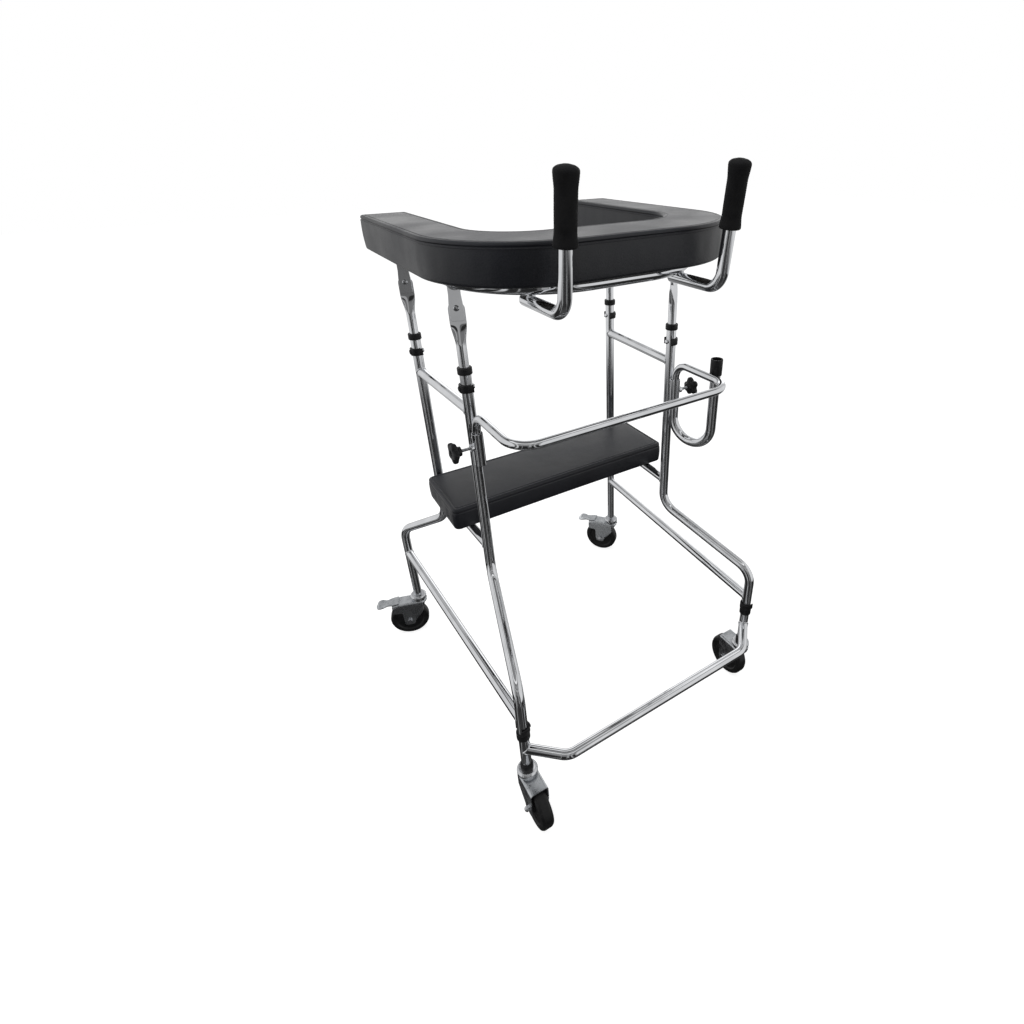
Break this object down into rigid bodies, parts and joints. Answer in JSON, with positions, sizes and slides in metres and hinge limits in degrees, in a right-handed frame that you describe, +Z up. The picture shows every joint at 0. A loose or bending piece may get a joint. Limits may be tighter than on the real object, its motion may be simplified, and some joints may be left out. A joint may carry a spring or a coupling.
{
  "type": "forearm support walker",
  "caption": "Forearm support walker: chromed bent-tube side frames on swivel casters, padded horseshoe armrest with upright handles, seat, guard bar and cane hook.",
  "frame": {"origin": "centre of the footprint's bounding box, on the floor", "axes": "+Z up; the walker faces -Y, the user stands at +Y; +X is the side with the cane hook"},
  "size_m": [0.7578, 0.7786, 1.1636],
  "materials": {
    "chrome": "polished",
    "bright_steel": "satin",
    "zinc_plate": "satin",
    "black_plastic": "matte",
    "black_rubber": "matte",
    "black_vinyl": "grained satin",
    "black_foam": "matte foam",
    "plywood": "stained matte"
  },
  "bodies": {
    "frame": {"front_left_leg": "chrome", "front_right_leg": "chrome", "rear_left_leg": "chrome", "rear_right_leg": "chrome", "front_left_collar": "black_plastic", "front_right_collar": "black_plastic", "rear_left_collar": "black_plastic", "rear_right_collar": "black_plastic", "front_left_foot_collar": "black_plastic", "front_right_foot_collar": "black_plastic", "front_left_caster_stem": "bright_steel", "front_right_caster_stem": "bright_steel", "rear_left_caster_stem": "bright_steel", "rear_right_caster_stem": "bright_steel", "upper_bar_left": "chrome", "upper_bar_right": "chrome", "seat_bar_left": "chrome", "seat_bar_right": "chrome", "lower_rail_left": "chrome", "lower_rail_right": "chrome", "front_bow": "chrome", "seat_pad": "black_vinyl", "seat_board": "plywood", "guard_socket_left": "chrome", "cane_holder": "chrome", "cane_cup": "black_rubber"},
    "armrest": {"front_left_inner_tube": "chrome", "front_right_inner_tube": "chrome", "rear_left_inner_tube": "chrome", "rear_right_inner_tube": "chrome", "armrest_frame": "chrome", "armrest_board": "plywood", "armrest_pad": "black_vinyl", "handle_left": "chrome", "handle_right": "chrome", "grip_left": "black_foam", "grip_right": "black_foam"},
    "guard_bar": {"guard_bar": "chrome"},
    "knob_left": {"clamp_knob_left": "black_plastic"},
    "knob_right": {"clamp_knob_right": "black_plastic"},
    "front_left_clip": {"front_left_clip": "black_plastic"},
    "front_right_clip": {"front_right_clip": "black_plastic"},
    "rear_left_clip": {"rear_left_clip": "black_plastic"},
    "rear_right_clip": {"rear_right_clip": "black_plastic"},
    "front_left_foot_clip": {"front_left_foot_clip": "black_plastic"},
    "front_right_foot_clip": {"front_right_foot_clip": "black_plastic"},
    "front_left_caster": {"front_left_fork": "zinc_plate", "front_left_axle": "bright_steel"},
    "front_left_wheel": {"front_left_wheel": "black_rubber"},
    "front_right_caster": {"front_right_fork": "zinc_plate", "front_right_axle": "bright_steel"},
    "front_right_wheel": {"front_right_wheel": "black_rubber"},
    "rear_left_caster": {"rear_left_fork": "zinc_plate", "rear_left_axle": "bright_steel"},
    "rear_left_wheel": {"rear_left_wheel": "black_rubber"},
    "rear_left_pedal": {"rear_left_brake_pedal": "zinc_plate"},
    "rear_right_caster": {"rear_right_fork": "zinc_plate", "rear_right_axle": "bright_steel"},
    "rear_right_wheel": {"rear_right_wheel": "black_rubber"},
    "rear_right_pedal": {"rear_right_brake_pedal": "zinc_plate"}
  },
  "joints": [
    {"name": "armrest_height", "type": "slide", "parent": "frame", "child": "armrest", "axis": [0, 0, 1], "range_m": [0, 0.15]},
    {"name": "guard_bar_height", "type": "slide", "parent": "frame", "child": "guard_bar", "axis": [0, 0, 1], "range_m": [0, 0.028]},
    {"name": "knob_left_turn", "type": "hinge", "parent": "frame", "child": "knob_left", "pos_m": [-0.19453, -0.08772, 0.713], "axis": [-1, 0, 0], "range_deg": [0, 270]},
    {"name": "knob_right_turn", "type": "hinge", "parent": "frame", "child": "knob_right", "pos_m": [0.27597, -0.08772, 0.713], "axis": [1, 0, 0], "range_deg": [0, 270]},
    {"name": "front_left_clip_pull", "type": "slide", "parent": "frame", "child": "front_left_clip", "axis": [-1, 0, 0], "range_m": [0, 0.025]},
    {"name": "front_right_clip_pull", "type": "slide", "parent": "frame", "child": "front_right_clip", "axis": [1, 0, 0], "range_m": [0, 0.025]},
    {"name": "rear_left_clip_pull", "type": "slide", "parent": "frame", "child": "rear_left_clip", "axis": [-1, 0, 0], "range_m": [0, 0.025]},
    {"name": "rear_right_clip_pull", "type": "slide", "parent": "frame", "child": "rear_right_clip", "axis": [1, 0, 0], "range_m": [0, 0.025]},
    {"name": "front_left_foot_clip_pull", "type": "slide", "parent": "frame", "child": "front_left_foot_clip", "axis": [1, 0, 0], "range_m": [0, 0.025]},
    {"name": "front_right_foot_clip_pull", "type": "slide", "parent": "frame", "child": "front_right_foot_clip", "axis": [-1, 0, 0], "range_m": [0, 0.025]},
    {"name": "front_left_swivel", "type": "hinge", "parent": "frame", "child": "front_left_caster", "pos_m": [-0.24728, -0.30792, 0.11], "axis": [0, 0, 1], "continuous": true},
    {"name": "front_left_wheel_spin", "type": "hinge", "parent": "front_left_caster", "child": "front_left_wheel", "pos_m": [-0.24728, -0.33992, 0.04938], "axis": [1, 0, 0], "continuous": true},
    {"name": "front_right_swivel", "type": "hinge", "parent": "frame", "child": "front_right_caster", "pos_m": [0.32872, -0.30792, 0.11], "axis": [0, 0, 1], "continuous": true},
    {"name": "front_right_wheel_spin", "type": "hinge", "parent": "front_right_caster", "child": "front_right_wheel", "pos_m": [0.32872, -0.27592, 0.04938], "axis": [-1, 0, 0], "continuous": true},
    {"name": "rear_left_swivel", "type": "hinge", "parent": "frame", "child": "rear_left_caster", "pos_m": [-0.27328, 0.29308, 0.11], "axis": [0, 0, 1], "continuous": true},
    {"name": "rear_left_wheel_spin", "type": "hinge", "parent": "rear_left_caster", "child": "rear_left_wheel", "pos_m": [-0.30371, 0.30297, 0.04938], "axis": [-0.309, -0.9511, 0], "continuous": true},
    {"name": "rear_left_brake", "type": "hinge", "parent": "rear_left_caster", "child": "rear_left_pedal", "pos_m": [-0.33415, 0.31286, 0.0985], "axis": [-0.309, -0.9511, 0], "range_deg": [0, 11]},
    {"name": "rear_right_swivel", "type": "hinge", "parent": "frame", "child": "rear_right_caster", "pos_m": [0.35472, 0.29308, 0.11], "axis": [0, 0, 1], "continuous": true},
    {"name": "rear_right_wheel_spin", "type": "hinge", "parent": "rear_right_caster", "child": "rear_right_wheel", "pos_m": [0.33502, 0.3183, 0.04938], "axis": [-0.788, -0.6157, 0], "continuous": true},
    {"name": "rear_right_brake", "type": "hinge", "parent": "rear_right_caster", "child": "rear_right_pedal", "pos_m": [0.31532, 0.34351, 0.0985], "axis": [-0.788, -0.6157, 0], "range_deg": [0, 11]}
  ]
}
